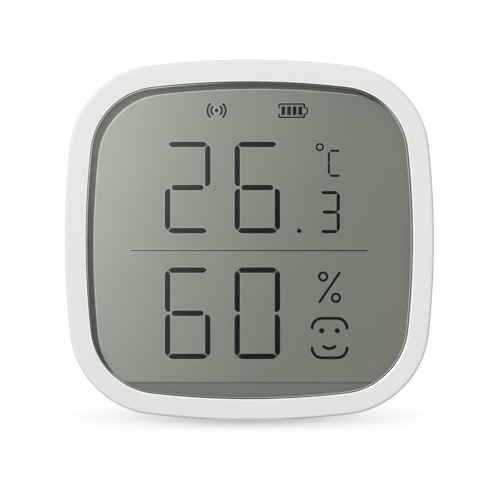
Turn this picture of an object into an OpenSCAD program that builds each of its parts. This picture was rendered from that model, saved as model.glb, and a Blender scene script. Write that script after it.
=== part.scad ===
// Table-top temperature and humidity sensor. A white snap-together case with a bowed square
// outline holds a reflective segment display behind a clear window, a circuit board and two
// AAA cells under a pull-off door. The back has a pairing button and a keyhole for a wall screw.
// X points right, Z points up, the display faces -Y and the origin lies under the foot.

/* [Case] */
// Distance from the battery tray's end to the side of the case
end_room = 5; // [4.6:0.1:8]
// Height of the case above the battery door
head_h = 24; // [22:0.2:30]
// Depth of the room for parts between the board and the battery tray
part_room = 2.6; // [2:0.1:7]
// Radius of the bowed left and right sides
side_bow = 142; // [120:2:200]
// Radius of the bowed top and bottom
top_bow = 139; // [120:2:200]
// Radius of the four corners
corner_r = 14.8; // [13.6:0.1:15]
// Depth of the flat that is cut under the case for standing
foot_cut = 0.2; // [0.1:0.05:0.3]
// Thickness of the side walls
side_wall = 2; // [1.8:0.1:2.2]
// Thickness of the front rim
rim_t = 1.4; // [1.2:0.1:1.8]
// Thickness of the back wall
back_wall = 2; // [1.8:0.1:2.4]
// Rounding of the front edge
front_round = 0.4; // [0.3:0.1:1.2]
// Rounding of the back edge
back_round = 3; // [2.4:0.1:3.2]
// Depth of the front shell, from the rim to the parting line
front_d = 14; // [13:0.5:15]
// Chamfer on both sides of the parting line
parting_chamfer = 0.25; // [0.1:0.05:0.4]
// Length of the lap joint between the two shells
lap_d = 2.5; // [2.2:0.1:3]
// Clearance in the lap joint
lap_gap = 0.05; // [0.03:0.01:0.1]
// Length of each snap along the wall
snap_l = 6; // [4:0.5:8]
// Height of each snap above the lip
snap_h = 0.3; // [0.2:0.05:0.4]
// Width of each snap across the lip
snap_w = 0.9; // [0.6:0.1:1.2]
// Distance between the two snaps of one side
snap_pitch = 20; // [14:1:22]

/* [Display] */
// Width of the rim round the display opening
rim_w = 3.45; // [3.2:0.05:3.7]
// Chamfer on the edge of the display opening
rim_chamfer = 0.2; // [0.1:0.05:0.6]
// Depth of the window's face behind the rim
window_recess = 0.3; // [0.2:0.05:0.5]
// Clearance between the window and the opening
window_gap = 0.2; // [0.05:0.01:0.25]
// Thickness of the window's flange
flange_t = 0.7; // [0.6:0.1:1]
// Thickness of the adhesive tape
tape_t = 0.1; // [0.05:0.05:0.2]
// Thickness of the foam gasket when clamped
gasket_t = 0.35; // [0.3:0.05:0.6]
// Thickness of each sheet of display glass
glass_t = 1.1; // [0.7:0.1:1.1]
// Thickness of each display film
film_t = 0.2; // [0.1:0.05:0.2]
// Clearance round the display glass
glass_gap = 0.1; // [0.05:0.05:0.2]
// Clearance between the display carrier and the shell
carrier_gap = 0.2; // [0.1:0.05:0.3]
// Wall of the carrier round the glass
carrier_wall = 0.7; // [0.6:0.1:0.8]
// Thickness of the carrier's plate
carrier_t = 1; // [0.8:0.1:1.2]
// Width of the carrier's foot on the board
carrier_foot = 1.4; // [1:0.1:2]
// Height of the front glass's bare contact strip
strip_h = 2.9; // [2.8:0.1:4]
// Sideways offset of the front film from the opening
film_shift_x = 1.05; // [0.8:0.05:1.6]
// Downward offset of the front film from the opening
film_shift_z = 1.15; // [0.6:0.05:1.4]
// Distance from the elastomer connector's end to the side of the case
zebra_side = 14; // [13.5:0.5:20]
// Height of the elastomer connector
zebra_h = 1.6; // [1.2:0.1:1.6]

/* [Board] */
// Thickness of the circuit board
board_t = 1.2; // [0.8:0.1:1.6]
// Clearance between the board and the shell
board_gap = 0.6; // [0.4:0.1:0.8]
// Height of the room between the carrier's plate and the board
board_room = 1.35; // [1.2:0.05:1.6]
// Radius of a board screw's shank
screw_r = 0.8; // [0.7:0.05:1]
// Length of a board screw's shank
screw_l = 3.2; // [2.6:0.1:3.4]
// Radius of a board screw's head
screw_head_r = 1.5; // [1.3:0.1:1.7]
// Thickness of a board screw's head
screw_head_t = 0.9; // [0.6:0.1:1]
// Clearance round a screw in its post
pilot_gap = 0.05; // [0.02:0.01:0.08]
// Clearance round a screw in the board
screw_gap = 0.2; // [0.1:0.05:0.3]
// Radius of a board post
post_r = 1.9; // [1.6:0.1:2.2]
// Distance of the upper posts from the side of the case
upper_post_side = 10; // [9:0.5:12]
// Distance of the lower posts from the side of the case
lower_post_side = 8.5; // [8:0.5:12]
// Distance of the upper posts from the top of the case
upper_post_drop = 9.3; // [9:0.1:12]
// Height of the lower posts above the tray's lower wall
lower_post_rise = 3.6; // [3:0.1:6]
// Height of the pairing switch's housing
tact_h = 1.5; // [1.2:0.1:2]
// Width of the pairing switch's housing
tact_w = 4.5; // [4:0.1:5.2]
// Radius of the pairing switch's plunger
plunger_r = 1; // [0.8:0.1:1.2]
// Clearance round the plunger
plunger_gap = 0.1; // [0.05:0.01:0.12]

/* [Power] */
// Diameter of an AAA cell
cell_d = 10.5; // [10:0.1:10.5]
// Length of an AAA cell over its pip
cell_l = 44.5; // [43.5:0.1:44.5]
// Radius of a cell's positive pip
pip_r = 1.9; // [1.6:0.1:1.9]
// Length of a cell's positive pip
pip_l = 1; // [0.8:0.1:1.2]
// Rounding of a cell's edges
cell_round = 0.5; // [0.3:0.1:0.8]
// Gap between the two cells
cell_gap = 0.5; // [0.3:0.1:1]
// Clearance between a cell and the tray's long walls
cell_play = 0.4; // [0.2:0.1:0.6]
// Clearance between a cell and the tray's floor
floor_play = 0.15; // [0.1:0.05:0.3]
// Room for a contact at each end of a cell
contact_room = 2.75; // [2.5:0.05:2.8]
// Height of the tray's inside above the foot
bay_z = 10.5; // [10.3:0.1:11.5]
// Wall of the battery tray
tray_wall = 0.9; // [0.7:0.1:1]
// Thickness of the battery tray's floor
tray_floor = 1; // [0.8:0.1:1.2]
// Distance between the tray and the shell wall at the corners
tray_gap = 1; // [0.8:0.1:1]
// Thickness of the contact metal
contact_t = 0.4; // [0.3:0.05:0.5]
// Height of a contact plate
contact_h = 6; // [5:0.2:6.6]
// Depth of a contact plate
contact_d = 7; // [5:0.2:7.6]
// Width of a contact's solder tab
tab_w = 2; // [1.4:0.1:2.6]
// Clearance round a solder tab in the tray's floor
tab_gap = 0.1; // [0.05:0.05:0.2]
// Diameter of the spring wire
wire_d = 0.45; // [0.35:0.05:0.5]
// Turns of a contact spring
spring_turns = 2.5; // [2:0.5:3]
// Radius of a contact spring at its plate
spring_base_r = 3; // [2.8:0.1:3.2]
// Radius of a contact spring at the cell
spring_tip_r = 1; // [0.8:0.1:1.2]

/* [Back] */
// Thickness of the battery door
door_t = 1.6; // [1.4:0.1:1.8]
// Clearance round the battery door
door_gap = 0.15; // [0.1:0.05:0.25]
// Distance of the battery door from the side of the case
door_inset = 3.8; // [3.7:0.1:4]
// Rounding of the battery door's upper corners
door_corner = 2; // [1:0.5:3]
// Height of the door above the tray's inside
door_lap = 1.6; // [1.4:0.1:2.4]
// Width of the ledge that carries the door
ledge_w = 0.9; // [0.7:0.1:1]
// Thickness of the ledge that carries the door
ledge_t = 1.2; // [1:0.1:1.4]
// Overhang of the ledge over the tray's walls
ledge_lip = 0.3; // [0.2:0.1:0.5]
// Width of the door's locating rim
door_rim_w = 1; // [0.8:0.1:1.2]
// Height of the door's locating rim
door_rim_h = 0.9; // [0.7:0.1:1]
// Thickness of the foam pad inside the door
pad_t = 0.4; // [0.3:0.05:0.6]
// Clearance between the foam pad and the cells
pad_play = 0.25; // [0.15:0.05:0.4]
// Length of the foam pad
pad_l = 36; // [24:1:40]
// Radius of the nail notch over the door
notch_r = 4; // [3:0.5:4.5]
// Depth of the nail notch over the door
notch_d = 1; // [0.6:0.1:1.2]
// Radius of the keyhole's entry
keyhole_r = 3.6; // [3.2:0.1:4]
// Radius of the keyhole's slot
keyhole_slot_r = 1.9; // [1.6:0.1:2.2]
// Travel of a screw in the keyhole
keyhole_travel = 6; // [5:0.5:6.5]
// Height of the keyhole's entry above the door
keyhole_rise = 8.6; // [8.4:0.1:9.4]
// Depth of the pocket behind the keyhole
pocket_d = 4.5; // [3.5:0.1:5]
// Wall of the pocket behind the keyhole
pocket_wall = 1; // [0.8:0.1:1.2]
// Radius of the pairing button
button_r = 2.9; // [2.4:0.1:3.2]
// Clearance round the pairing button
button_gap = 0.1; // [0.05:0.01:0.15]
// Distance of the pairing button from the middle plane
button_x = 14; // [13.5:0.5:15]
// Height of the pairing button above the door
button_rise = 6.8; // [6.6:0.1:8]
// Depth of the button's face behind the back
button_recess = 0.3; // [0.1:0.1:0.5]
// Travel of the pairing button
button_travel = 0.4; // [0.3:0.05:0.5]
// Width of the button's collar beyond its cap
collar_w = 0.75; // [0.5:0.05:0.9]
// Thickness of the button's collar
collar_t = 1; // [0.8:0.1:1.4]
// Radius of the button's stem
stem_r = 1.5; // [1.2:0.1:1.8]
// Wall of the sleeve that guides the button
sleeve_wall = 0.9; // [0.7:0.1:1]
// Length of the sleeve that guides the button
sleeve_l = 6; // [4:0.5:8]
// Height of the middle vent slot above the door
vent_rise = 8.6; // [7.5:0.1:9]
// Distance of the vent slots' ends from the rounded back edge
vent_back = 1; // [1:0.1:2]
// Number of vent slots in each side
vent_count = 5; // [3:1:6]
// Distance between vent slots
vent_pitch = 2.2; // [2:0.1:2.4]
// Half of a vent slot's width
vent_r = 0.55; // [0.4:0.05:0.6]
// Length of a vent slot
vent_l = 5; // [4:0.25:5.5]
// Thickness of the vent membrane
membrane_t = 0.3; // [0.2:0.05:0.4]
// Border of the vent membrane round the slots
membrane_border = 1; // [0.6:0.1:1.2]

/* [Hidden] */
// Steps of a half side bow, of a corner and of a rounded edge
bow_steps = 4;
corner_steps = 14;
round_steps = 5;
// Overlap that joins solids and clears cuts
eps = 0.2;
$fn = 48;

// Heights from the foot, from the battery tray to the top of the case
lower_z = bay_z + cell_play + cell_d / 2;
upper_z = lower_z + cell_d + cell_gap;
bay_top = upper_z + cell_d / 2 + cell_play;
door_top = bay_top + door_lap;
case_top = door_top + head_h;

// Overall size: the case is as wide, high and deep as what it holds needs
bay_half = cell_l / 2 + contact_room;
case_w = 2 * (bay_half + end_room);
case_h = case_top + foot_cut;
display_d = rim_t + tape_t + flange_t + gasket_t + 2 * glass_t + film_t + carrier_t;
power_d = tray_floor + floor_play + cell_d + pad_play + pad_t + door_t;
case_d = display_d + board_room + board_t + part_room + power_d;

// Outline of the case: a side bow, a corner and a top bow meet tangentially in each quarter
mid_z = case_h / 2 - foot_cut;
side_c = [case_w / 2 - side_bow, 0];
top_c = [0, case_h / 2 - top_bow];
bow_gap = norm(top_c - side_c);
bow_dir = (top_c - side_c) / bow_gap;
side_reach = side_bow - corner_r;
top_reach = top_bow - corner_r;
reach_along = (side_reach * side_reach - top_reach * top_reach + bow_gap * bow_gap) / (2 * bow_gap);
reach_across = sqrt(side_reach * side_reach - reach_along * reach_along);
corner_c = side_c + reach_along * bow_dir + reach_across * [-bow_dir.y, bow_dir.x];
side_sweep = atan2(corner_c.y, corner_c.x - side_c.x);
top_sweep = atan2(corner_c.y - top_c.y, corner_c.x);

function arc(c, r, from, to, steps, first) =
    [for (i = [first:steps]) let (a = from + (to - from) * i / steps) c + r * [cos(a), sin(a)]];

function quarter(inset) = concat(
    arc(side_c, side_bow - inset, 0, side_sweep, bow_steps, 0),
    arc(corner_c, corner_r - inset, side_sweep, top_sweep, corner_steps, 1),
    arc(top_c, top_bow - inset, top_sweep, 90, bow_steps, 1));

// Closed outline at a distance inside the case, counterclockwise from the right
function outline(inset) =
    let (q = quarter(inset), n = len(q) - 1)
    concat(
        [for (i = [0:n - 1]) [q[i].x, mid_z + q[i].y]],
        [for (i = [n:-1:1]) [-q[i].x, mid_z + q[i].y]],
        [for (i = [0:n - 1]) [-q[i].x, mid_z - q[i].y]],
        [for (i = [n:-1:1]) [q[i].x, mid_z - q[i].y]]);

// Lower part of that outline under a straight top edge with rounded corners
function door_outline(inset, top, r) =
    let (shoulder = top - r, points = outline(inset), rise = shoulder - mid_z)
    let (x = side_c.x + sqrt(pow(side_bow - inset, 2) - rise * rise) - r)
    concat(
        [for (p = points) if (p.x > 0 && p.y >= mid_z && p.y < shoulder - eps) p],
        arc([x, shoulder], r, 0, 90, round_steps, 0),
        arc([-x, shoulder], r, 90, 180, round_steps, 0),
        [for (p = points) if ((p.x <= 0 || p.y < mid_z) && p.y < shoulder - eps) p]);

// Straight slot with round ends, along the first axis
function slot_outline(length, r) = concat(
    arc([length / 2 - r, 0], r, -90, 90, 2 * round_steps, 0),
    arc([r - length / 2, 0], r, 90, 270, 2 * round_steps, 0));

// Planes through the depth, from the front to the board
y_front = -case_d / 2;
y_back = case_d / 2;
part_y = y_front + front_d;
rim_back = y_front + rim_t;
tape_back = rim_back + tape_t;
flange_back = tape_back + flange_t;
glass_front = flange_back + gasket_t;
glass_mid = glass_front + glass_t;
glass_back = glass_mid + glass_t;
plate_front = glass_back + film_t;
plate_back = plate_front + carrier_t;
board_front = plate_back + board_room;
board_back = board_front + board_t;

// Planes through the depth, from the back to the battery tray
back_in = y_back - back_wall;
door_in = y_back - door_t;
ledge_in = door_in - ledge_t;
pad_in = door_in - pad_t;
cell_y = pad_in - pad_play - cell_d / 2;
floor_in = cell_y - cell_d / 2 - floor_play;
floor_out = floor_in - tray_floor;
pocket_in = back_in - pocket_d;

// Insets from the outside of the case
lap_inset = side_wall / 2;
snap_inset = lap_inset + lap_gap - snap_h;
carrier_inset = side_wall + carrier_gap;
glass_inset = carrier_inset + carrier_wall + glass_gap;
board_inset = side_wall + board_gap;
tray_inset = side_wall + tray_gap;

// Other heights
strip_top = glass_inset - foot_cut + strip_h;
zebra_z = strip_top - zebra_h - eps;
zebra_l = case_w - 2 * zebra_side;
keyhole_z = door_top + keyhole_rise;
button_z = door_top + button_rise;
vent_z = door_top + vent_rise;
vent_y = y_back - back_round - vent_back - vent_l / 2;
upper_post_x = case_w / 2 - upper_post_side;
lower_post_x = case_w / 2 - lower_post_side;
upper_post_z = case_top - upper_post_drop;
lower_post_z = bay_z + lower_post_rise;
posts = [
    [-upper_post_x, upper_post_z], [upper_post_x, upper_post_z],
    [-lower_post_x, lower_post_z], [lower_post_x, lower_post_z]];

// Places of the soldered parts on the board
sensor_w = 2.5;
sensor_h = 0.9;
sensor_side = 7;
sensor_at = [sensor_side - case_w / 2, vent_z];
isolation_w = 0.8;
isolation_reach = 3.5;
radio_size = [12, 16];
radio_t = 0.8;
radio_drop = 5;
radio_x = -4;
radio_at = [radio_x, case_top - radio_drop - radio_size.y / 2];
shield_size = [10, 9];
shield_h = 1.5;
shield_t = 0.2;
shield_rim = 1;
driver_w = 7;
driver_h = 0.9;
driver_at = [0, upper_z];
crystal_size = [1.5, 3.2];
crystal_h = 0.8;
crystal_x = -8;
capacitor_size = [0.8, 1.6];
capacitor_h = 0.8;
capacitor_x = 2.6;
capacitor_pitch = 2.2;
capacitor_count = 5;

// Extrudes a shape drawn in X and Z from one depth to another
module slab(from, to) {
    translate([0, to, 0]) rotate([90, 0, 0]) linear_extrude(to - from) children();
}

// Rod along the depth at a place in X and Z
module rod(at, r, from, to) {
    translate([at.x, to, at.y]) rotate([90, 0, 0]) cylinder(h = to - from, r = r);
}

// Box along the depth, centred at a place in X and Z
module block(at, size, from, to) {
    translate([at.x - size.x / 2, from, at.y - size.y / 2]) cube([size.x, to - from, size.y]);
}

module ring(outer, inner) {
    difference() {
        polygon(outline(outer));
        polygon(outline(inner));
    }
}

function loft_points(profile) =
    [for (s = profile) for (p = outline(s[0])) [p.x, s[1], p.y]];

function loft_sides(rows, n, closed) =
    [for (k = [0:rows - (closed ? 1 : 2)]) for (i = [0:n - 1])
        let (a = k * n, b = ((k + 1) % rows) * n, j = (i + 1) % n)
        [a + j, a + i, b + i, b + j]];

// Carries a closed profile of insets and depths round the outline
module ring_loft(profile) {
    n = len(outline(0));
    polyhedron(loft_points(profile), loft_sides(len(profile), n, true));
}

// Carries an open profile of insets and depths round the outline and caps both of its ends
module shell_loft(profile) {
    n = len(outline(0));
    last = (len(profile) - 1) * n;
    polyhedron(loft_points(profile), concat(
        loft_sides(len(profile), n, false),
        [[for (i = [0:n - 1]) i]],
        [[for (i = [n - 1:-1:0]) last + i]]));
}

// Everything below the surface that the case stands on
module under_foot() {
    translate([-case_w, -case_d, -case_h]) cube([2 * case_w, 2 * case_d, case_h]);
}

// Short stretches of a ring between two insets, two on each of the four sides
module snaps(outer, inner, length) {
    intersection() {
        ring(outer, inner);
        union() {
            for (side = [-1, 1]) for (end = [-1, 1]) {
                translate([side * case_w / 2, mid_z + end * snap_pitch / 2])
                    square([corner_r, length], center = true);
                translate([end * snap_pitch / 2, mid_z + side * case_h / 2])
                    square([length, corner_r], center = true);
            }
        }
    }
}

// Inside of the battery tray, drawn in by a margin
module bay_shape(margin, inset) {
    intersection() {
        polygon(outline(inset));
        translate([margin - bay_half, bay_z + margin])
            square([2 * (bay_half - margin), bay_top - bay_z - 2 * margin]);
    }
}

module front_bezel() {
    snap_y = part_y - lap_d / 2;
    rim_profile = concat(
        [[0, part_y - parting_chamfer]],
        [for (p = arc([front_round, y_front + front_round], front_round, 180, 270, round_steps, 0)) p],
        [[rim_w - rim_chamfer, y_front], [rim_w, y_front + rim_chamfer], [rim_w, rim_back],
         [side_wall, rim_back], [side_wall, part_y - lap_d - lap_gap],
         [lap_inset, part_y - lap_d - lap_gap], [lap_inset, part_y], [parting_chamfer, part_y]]);
    color("whitesmoke") difference() {
        ring_loft(rim_profile);
        under_foot();
        slab(snap_y - snap_w / 2 - lap_gap, snap_y + snap_w / 2 + lap_gap)
            snaps(snap_inset - lap_gap, lap_inset + eps / 2, snap_l + 2 * lap_gap);
    }
}

module display_window() {
    color([0.85, 0.9, 0.88, 0.4]) union() {
        slab(y_front + window_recess, flange_back) polygon(outline(rim_w + window_gap));
        slab(tape_back, flange_back) polygon(outline(carrier_inset));
    }
}

module window_tape() {
    color("dimgray") slab(rim_back, tape_back) ring(carrier_inset, rim_w - window_gap);
}

module display_gasket() {
    color("black") slab(flange_back, glass_front) ring(carrier_inset, carrier_inset + carrier_wall);
}

module lcd_front_polariser() {
    color("darkseagreen") slab(glass_front - film_t, glass_front) intersection() {
        polygon(outline(glass_inset));
        translate([film_shift_x, -film_shift_z]) polygon(outline(rim_w));
        translate([-case_w / 2, strip_top]) square([case_w, case_h]);
    }
}

module lcd_front_glass() {
    color([0.3, 0.33, 0.28, 0.8]) slab(glass_front, glass_mid) polygon(outline(glass_inset));
}

// Part of the display above the contact strip
module above_strip() {
    intersection() {
        polygon(outline(glass_inset));
        translate([-case_w / 2, strip_top]) square([case_w, case_h]);
    }
}

module lcd_rear_glass() {
    color([0.3, 0.33, 0.28, 0.8]) slab(glass_mid, glass_back) above_strip();
}

module lcd_rear_reflector() {
    color("silver") slab(glass_back, plate_front) above_strip();
}

module lcd_carrier() {
    foot_inset = board_inset + carrier_foot;
    color("gainsboro") difference() {
        slab(glass_front, board_front) polygon(outline(carrier_inset));
        slab(glass_front - eps, plate_front) polygon(outline(carrier_inset + carrier_wall));
        slab(plate_back, board_front + eps) polygon(outline(foot_inset));
        block([0, zebra_z + zebra_h / 2], [zebra_l + 2 * glass_gap, zebra_h + 2 * glass_gap],
            plate_front - eps, board_front + eps);
    }
}

module zebra_strip() {
    color("slategray")
        block([0, zebra_z + zebra_h / 2], [zebra_l, zebra_h], glass_mid, board_front);
}

module main_board() {
    reach = isolation_reach;
    color("darkgreen") difference() {
        slab(board_front, board_back) polygon(outline(board_inset));
        for (at = posts) rod(at, screw_r + screw_gap, board_front - eps, board_back + eps);
        // Slots round three sides of the sensor keep the board's heat away from it
        block(sensor_at + [reach, 0], [isolation_w, 2 * reach + isolation_w],
            board_front - eps, board_back + eps);
        for (end = [-1, 1])
            block(sensor_at + [reach / 2, end * reach], [reach, isolation_w],
                board_front - eps, board_back + eps);
    }
}

module board_screws() {
    color("silver") for (at = posts) {
        translate([at.x, board_front, at.y]) rotate([-90, 0, 0]) rotate_extrude()
            polygon([[0, -screw_head_t], [screw_head_r * 0.6, -screw_head_t],
                [screw_head_r, -screw_head_t / 2], [screw_head_r, 0], [screw_r, 0],
                [screw_r, screw_l - screw_r], [0, screw_l]]);
    }
}

module radio_module() {
    color("darkgreen") block(radio_at, radio_size, board_back, board_back + radio_t);
}

module radio_shield() {
    base = board_back + radio_t;
    at = radio_at - [0, (radio_size.y - shield_size.y) / 2 - shield_rim];
    color("silver") difference() {
        block(at, shield_size, base, base + shield_h);
        block(at, shield_size - 2 * [shield_t, shield_t], base - eps, base + shield_h - shield_t);
    }
}

module display_driver_chip() {
    color("black") block(driver_at, [driver_w, driver_w], board_back, board_back + driver_h);
}

module sensor_chip() {
    color("black") difference() {
        block(sensor_at, [sensor_w, sensor_w], board_back, board_back + sensor_h);
        rod(sensor_at, sensor_w / 4, board_back + sensor_h / 2, board_back + sensor_h + eps);
    }
}

module crystal() {
    color("silver") block([crystal_x, upper_z], crystal_size, board_back, board_back + crystal_h);
}

module capacitors() {
    color("tan") for (i = [0:capacitor_count - 1])
        block([capacitor_x + i * capacitor_pitch, lower_z], capacitor_size,
            board_back, board_back + capacitor_h);
}

plunger_tip = board_back + tact_h + button_travel + plunger_gap;
plunger_root = board_back + tact_h / 2;

module tact_switch() {
    at = [button_x, button_z];
    color("dimgray") difference() {
        block(at, [tact_w, tact_w], board_back, board_back + tact_h);
        rod(at, plunger_r + plunger_gap, plunger_root - button_travel - plunger_gap,
            board_back + tact_h + eps);
    }
}

module tact_plunger() {
    color("white") rod([button_x, button_z], plunger_r, plunger_root, plunger_tip);
}

module pairing_button() {
    collar_back = back_in - lap_gap;
    translate([button_x, plunger_tip, button_z]) rotate([-90, 0, 0])
        color("whitesmoke") rotate_extrude() polygon([
            [0, 0], [stem_r, 0],
            [stem_r, collar_back - collar_t - plunger_tip],
            [button_r + collar_w, collar_back - collar_t - plunger_tip],
            [button_r + collar_w, collar_back - plunger_tip],
            [button_r, collar_back - plunger_tip],
            [button_r, y_back - button_recess - parting_chamfer - plunger_tip],
            [button_r - parting_chamfer, y_back - button_recess - plunger_tip],
            [0, y_back - button_recess - plunger_tip]]);
}

// Keyhole as seen from behind: round entry with a narrow slot above it
module keyhole(from, to) {
    rod([0, keyhole_z], keyhole_r, from, to);
    slab(from, to) translate([0, keyhole_z + keyhole_travel / 2]) rotate(90)
        polygon(slot_outline(keyhole_travel + 2 * keyhole_slot_r, keyhole_slot_r));
}

pocket_low = keyhole_z - keyhole_r - keyhole_slot_r / 2;
pocket_high = keyhole_z + keyhole_travel + keyhole_r;
pocket_at = [0, (pocket_low + pocket_high) / 2];
pocket_size = [2 * keyhole_r + keyhole_slot_r, pocket_high - pocket_low];

module vent_slots() {
    first = vent_z - (vent_count - 1) * vent_pitch / 2;
    for (side = [-1, 1]) for (i = [0:vent_count - 1])
        translate([side * case_w / 2 - corner_r / 2, vent_y, first + i * vent_pitch])
            rotate([90, 0, 90]) linear_extrude(corner_r) polygon(slot_outline(vent_l, vent_r));
}

module rear_housing() {
    snap_y = part_y - lap_d / 2;
    inner_round = max(back_round - side_wall, eps);
    collar_r = button_r + collar_w;
    back_profile = concat(
        [for (p = arc([back_round, y_back - back_round], back_round, 90, 180, round_steps + 1, 0)) p],
        [[0, part_y + parting_chamfer], [parting_chamfer, part_y],
         [lap_inset + lap_gap, part_y], [lap_inset + lap_gap, part_y - lap_d],
         [side_wall, part_y - lap_d]],
        [for (p = arc([side_wall + inner_round, back_in - inner_round], inner_round, 180, 90, 3, 0)) p]);
    color("whitesmoke") difference() {
        union() {
            shell_loft(back_profile);
            slab(ledge_in, back_in + eps)
                polygon(door_outline(side_wall - eps, door_top + door_lap, door_corner));
            slab(floor_out, ledge_in + eps) bay_shape(-tray_wall, tray_inset);
            for (at = posts) rod(at, post_r, board_back, at.y > bay_top ? back_in + eps : floor_in - eps);
            block(pocket_at, pocket_size + 2 * [pocket_wall, pocket_wall],
                pocket_in - pocket_wall, back_in + eps);
            rod([button_x, button_z], collar_r + button_gap + sleeve_wall, back_in - sleeve_l, back_in + eps);
            slab(snap_y - snap_w / 2, snap_y + snap_w / 2) snaps(snap_inset, side_wall - eps, snap_l);
        }
        under_foot();
        slab(door_in, y_back + eps) polygon(
            door_outline(door_inset - door_gap, door_top + door_gap, door_corner + door_gap));
        rod([0, door_top], notch_r, y_back - notch_d, y_back + eps);
        slab(ledge_in - eps, door_in + eps) bay_shape(ledge_lip, door_inset + ledge_w);
        slab(floor_in, ledge_in) bay_shape(0, tray_inset + tray_wall);
        for (z = [lower_z, upper_z])
            block([bay_half - contact_t / 2, z], [contact_t + 2 * tab_gap, tab_w + 2 * tab_gap],
                floor_out - eps, floor_in + eps);
        for (at = posts) rod(at, screw_r + pilot_gap, board_back - eps, board_front + screw_l + eps);
        block(pocket_at, pocket_size, pocket_in, back_in);
        keyhole(back_in - eps, y_back + eps);
        rod([button_x, button_z], collar_r + button_gap, back_in - sleeve_l - eps, back_in);
        rod([button_x, button_z], button_r + button_gap, back_in - eps, y_back + eps);
        vent_slots();
    }
}

module battery_door() {
    rim_in = ledge_lip + door_gap;
    color("whitesmoke") union() {
        slab(door_in, y_back) polygon(door_outline(door_inset, door_top, door_corner));
        slab(door_in - door_rim_h, door_in + eps) difference() {
            bay_shape(rim_in, door_inset + ledge_w + door_gap);
            bay_shape(rim_in + door_rim_w, door_inset + ledge_w + door_gap + door_rim_w);
        }
    }
}

module cell_pad() {
    color("dimgray") block([0, (lower_z + upper_z) / 2], [pad_l, cell_d + cell_gap], pad_in, door_in);
}

// AAA cell along X with its pip towards the given side
module cell(z, side) {
    r = cell_d / 2;
    shoulder = cell_l - pip_l;
    translate([-side * cell_l / 2, cell_y, z]) rotate([0, side * 90, 0]) rotate_extrude() polygon([
        [0, 0], [r - cell_round, 0], [r, cell_round],
        [r, shoulder - cell_round], [r - cell_round, shoulder], [pip_r, shoulder],
        [pip_r, cell_l - pip_l / 4], [pip_r - pip_l / 4, cell_l], [0, cell_l]]);
}

module battery_upper() {
    color("silver") cell(upper_z, 1);
}

module battery_lower() {
    color("silver") cell(lower_z, -1);
}

// Path of a conical contact spring from its plate to the cell, along X
rings_per_turn = 8;
spring_run = contact_room - contact_t - wire_d - 2 * lap_gap;
spring_path = [for (i = [0:rings_per_turn * spring_turns])
    let (t = i / (rings_per_turn * spring_turns), a = 360 * i / rings_per_turn)
    let (r = spring_base_r + (spring_tip_r - spring_base_r) * t)
    [spring_run * t, r * cos(a), r * sin(a)]];

// Least gap between points of the spring that lie at least half a turn apart
spring_gaps = [for (i = [0:len(spring_path) - 1])
    for (j = [i + rings_per_turn / 2:1:len(spring_path) - 1])
    norm(spring_path[i] - spring_path[j]) - wire_d];
echo(least_spring_gap = min(spring_gaps));

module spring() {
    sides = 6;
    rows = len(spring_path);
    points = [for (i = [0:rows - 1]) for (k = [0:sides - 1])
        let (turn = 360 * i / rings_per_turn, a = 360 * k / sides)
        spring_path[i] + wire_d / 2 * [sin(a), cos(a) * cos(turn), cos(a) * sin(turn)]];
    tube = [for (i = [0:rows - 2]) for (k = [0:sides - 1])
        let (a = i * sides, b = a + sides, next = (k + 1) % sides)
        [a + k, a + next, b + next, b + k]];
    polyhedron(points, concat(tube,
        [[for (k = [sides - 1:-1:0]) k]],
        [[for (k = [0:sides - 1]) (rows - 1) * sides + k]]));
}

module contact_springs() {
    start = bay_half - contact_t - wire_d / 2 - lap_gap;
    color("silver") {
        translate([-start, cell_y, upper_z]) spring();
        translate([start, cell_y, lower_z]) rotate([0, 0, 180]) spring();
    }
}

// Flat contact plate against the tray's end wall, from one height to another
module contact_plate(side, low, high) {
    x = side * (bay_half - contact_t / 2) - contact_t / 2;
    slab(cell_y - contact_d / 2, cell_y + contact_d / 2) intersection() {
        bay_shape(0, tray_inset + tray_wall);
        translate([x, low]) square([contact_t, high - low]);
    }
}

// Pressed boss that meets a cell's pip
module contact_boss(side, z) {
    inner = bay_half - contact_room;
    translate([side * inner, cell_y, z]) rotate([0, side * 90, 0])
        cylinder(h = contact_room - contact_t / 2, r1 = pip_r, r2 = pip_r + contact_t);
}

// Tab from a contact plate through the tray's floor to the board
module solder_tab(z) {
    block([bay_half - contact_t / 2, z], [contact_t, tab_w], board_back, cell_y);
}

module series_bridge() {
    color("silver") union() {
        contact_plate(-1, lower_z - contact_h / 2, upper_z + contact_h / 2);
        contact_boss(-1, lower_z);
    }
}

module positive_contact() {
    color("silver") union() {
        contact_plate(1, upper_z - contact_h / 2, upper_z + contact_h / 2);
        contact_boss(1, upper_z);
        solder_tab(upper_z);
    }
}

module negative_contact() {
    color("silver") union() {
        contact_plate(1, lower_z - contact_h / 2, lower_z + contact_h / 2);
        solder_tab(lower_z);
    }
}

module vent_membranes() {
    reach = (vent_count - 1) * vent_pitch + 2 * vent_r + 2 * membrane_border;
    half = vent_l / 2 + membrane_border;
    color("dimgray") slab(vent_y - half, vent_y + half) intersection() {
        ring(side_wall, side_wall + membrane_t);
        translate([0, vent_z]) square([2 * case_w, reach], center = true);
    }
}

front_bezel();
display_window();
window_tape();
display_gasket();
lcd_front_polariser();
lcd_front_glass();
lcd_rear_glass();
lcd_rear_reflector();
lcd_carrier();
zebra_strip();
main_board();
board_screws();
radio_module();
radio_shield();
display_driver_chip();
sensor_chip();
crystal();
capacitors();
tact_switch();
tact_plunger();
pairing_button();
rear_housing();
battery_door();
cell_pad();
battery_upper();
battery_lower();
contact_springs();
series_bridge();
positive_contact();
negative_contact();
vent_membranes();
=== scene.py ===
"""Looks of a table-top temperature and humidity sensor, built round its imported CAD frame.

Sizes in this script are millimetres of the real object, and become metres when a mesh is made.
"""
import math

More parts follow.
